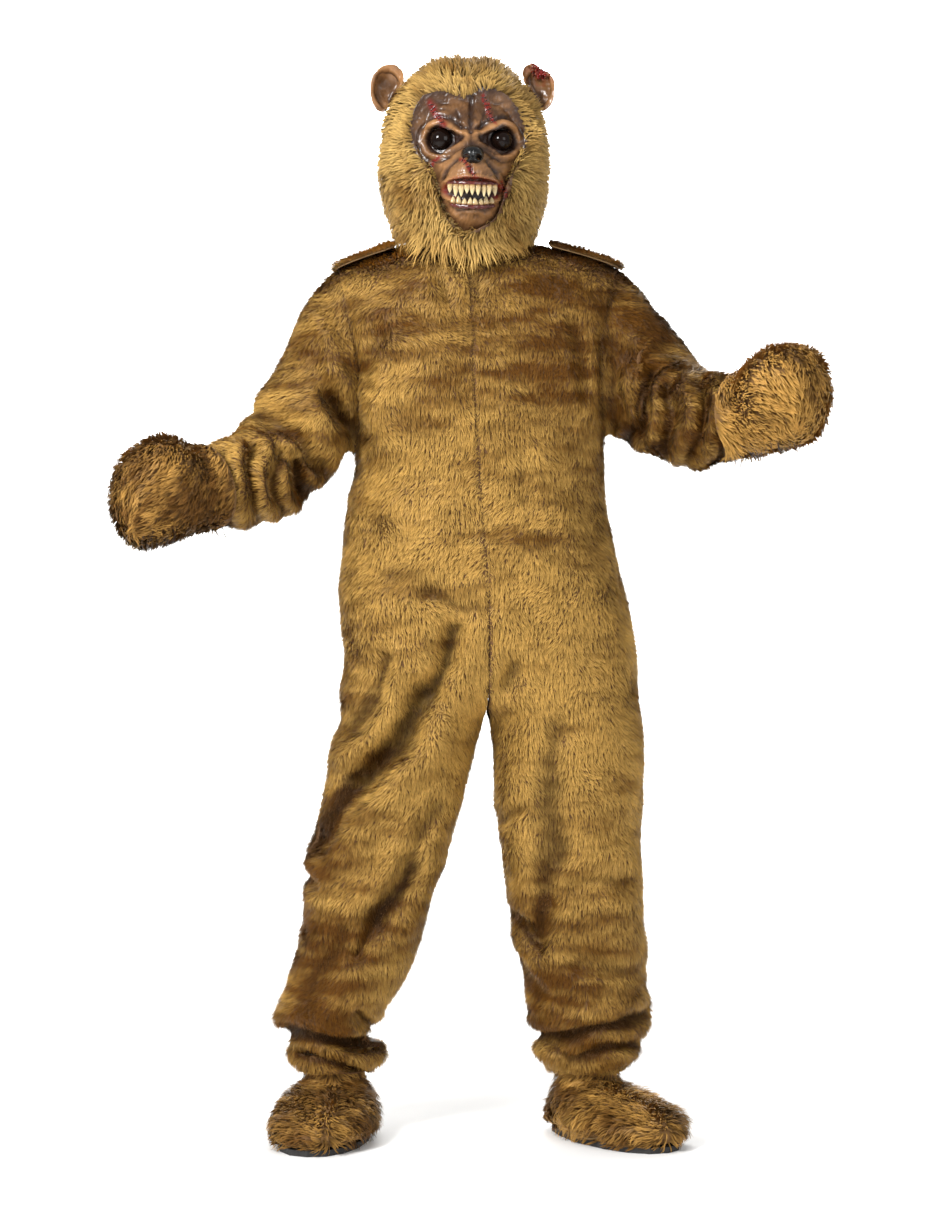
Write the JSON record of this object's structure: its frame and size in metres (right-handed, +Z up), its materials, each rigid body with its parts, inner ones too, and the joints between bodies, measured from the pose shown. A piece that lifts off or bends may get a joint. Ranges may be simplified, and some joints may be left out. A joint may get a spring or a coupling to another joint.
{
  "type": "bear mascot costume set, hollow as worn",
  "caption": "Plush bear costume in its worn pose: jumpsuit, hooded mask with a latex face, mitts and boot covers, hollow and open where a wearer goes in.",
  "frame": {"origin": "between the shoulder seams at the base of the neck, where the wearer's shoulders carry the suit; 1.49 m above the ground the boots stand on", "axes": "+Z up, the front faces -Y, +X to the wearer's left"},
  "size_m": [1.1543, 0.4544, 1.803],
  "materials": {
    "suit_plush": "short golden brown plush, matt with a soft sheen along the nap",
    "mask_plush": "longer pale gold plush",
    "mitt_plush": "longer orange gold plush",
    "latex": "brown cast latex, glossy",
    "sole_rubber": "matt dark sole",
    "eye_gloss": "black gloss dome",
    "nose_gloss": "black latex, half gloss",
    "tooth": "ivory cast teeth, glossy"
  },
  "bodies": {
    "root": {"back_left": "suit_plush", "back_right": "suit_plush", "boot_left": "mitt_plush", "boot_right": "mitt_plush", "ear_left": "latex", "ear_right": "latex", "eye_left": "eye_gloss", "eye_right": "eye_gloss", "face": "latex", "front_left": "suit_plush", "front_right": "suit_plush", "hood_left": "mask_plush", "hood_right": "mask_plush", "mitt_left": "mitt_plush", "mitt_right": "mitt_plush", "neckband": "suit_plush", "nose": "nose_gloss", "shoulder_tab_left": "suit_plush", "shoulder_tab_right": "suit_plush", "sleeve_left": "suit_plush", "sleeve_right": "suit_plush", "sole_left": "sole_rubber", "sole_right": "sole_rubber", "teeth_lower": "tooth", "teeth_upper": "tooth"}
  },
  "joints": []
}
